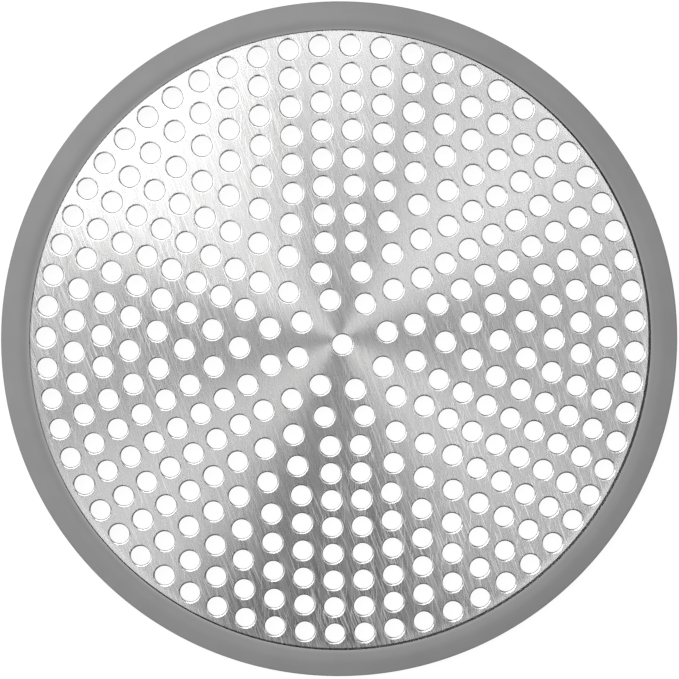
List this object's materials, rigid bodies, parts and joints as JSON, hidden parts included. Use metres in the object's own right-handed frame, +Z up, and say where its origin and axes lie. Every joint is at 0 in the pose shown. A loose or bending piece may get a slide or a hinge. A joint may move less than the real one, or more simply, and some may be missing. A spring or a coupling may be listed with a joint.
{
  "type": "drain strainer",
  "caption": "Round flat drain strainer: a punched stainless steel plate held by its edge in a soft grey rim, lies on a shower floor over the drain to catch hair.",
  "frame": {"origin": "middle of the flat seat under the rim, on the floor that the strainer lies on", "axes": "+Z up out of the floor, square to the plate; +X along a spoke of the punched pattern"},
  "size_m": [0.146, 0.146, 0.005],
  "materials": {
    "steel": "satin, spun about the centre, with fine straight scratches",
    "silicone": "matt mid grey"
  },
  "bodies": {
    "root": {"strainer_plate": "steel", "silicone_rim": "silicone"}
  },
  "joints": []
}
